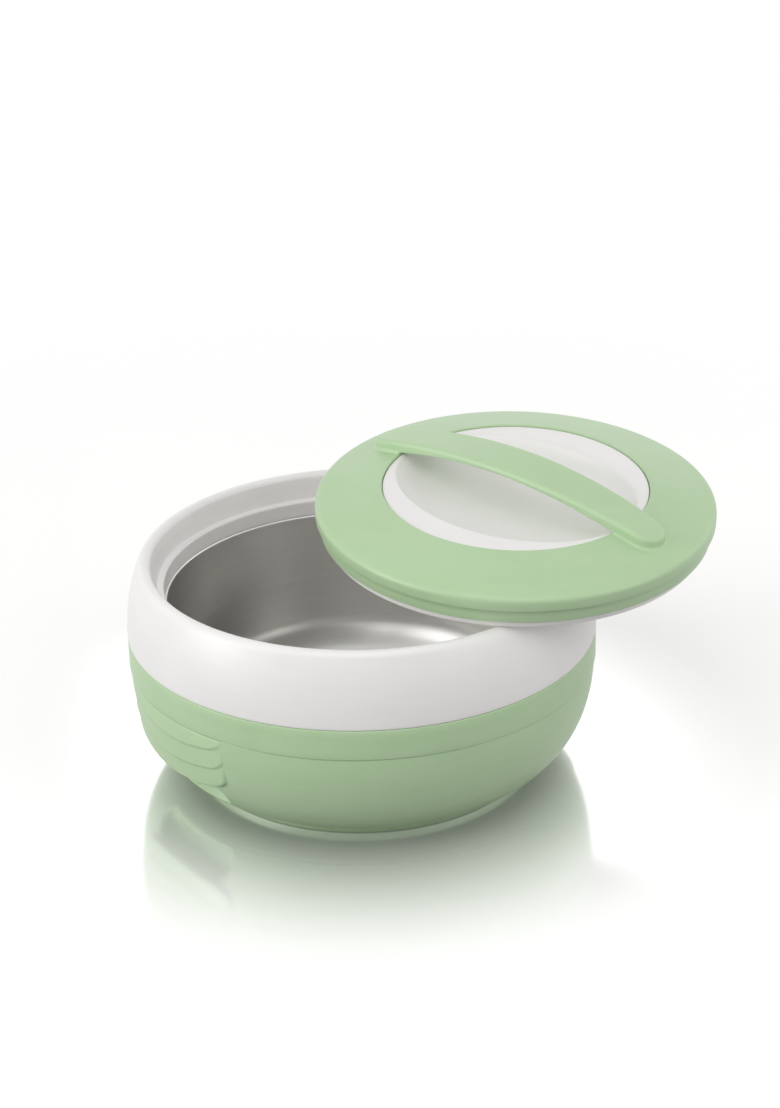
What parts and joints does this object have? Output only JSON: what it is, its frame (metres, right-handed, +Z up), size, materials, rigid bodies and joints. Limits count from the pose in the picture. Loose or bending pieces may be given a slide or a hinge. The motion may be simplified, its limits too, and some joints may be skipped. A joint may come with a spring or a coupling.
{
  "type": "insulated casserole",
  "caption": "Round foam-insulated serving casserole: steel bowl in a two-tone plastic body with side grips, and a lift-off lid with a bridge handle, lying on the rim.",
  "frame": {"origin": "centre of the foot ring, on the surface that the casserole stands on", "axes": "+Z up; +X towards the side that the taken-off lid hangs over; -Y towards the front of the picture"},
  "size_m": [0.2979, 0.2382, 0.1602],
  "materials": {
    "green_plastic": "smooth satin polypropylene, pale sage green",
    "white_plastic": "smooth semi-gloss polypropylene, warm white",
    "steel": "spun stainless steel, fine circular brushing",
    "foam": "rigid polyurethane foam, pale yellow, closed in"
  },
  "bodies": {
    "base": {"outer_shell": "green_plastic", "collar": "white_plastic", "inner_bowl": "steel", "base_insulation": "foam", "base_fill_plug": "green_plastic"},
    "lid": {"lid_cover": "green_plastic", "lid_dish": "white_plastic", "lid_liner": "white_plastic", "lid_insulation": "foam", "lid_fill_plug": "white_plastic"}
  },
  "joints": [
    {"name": "lid_lift", "type": "slide", "parent": "base", "child": "lid", "axis": [0, 0, 1], "range_m": [0, 0.12]}
  ]
}
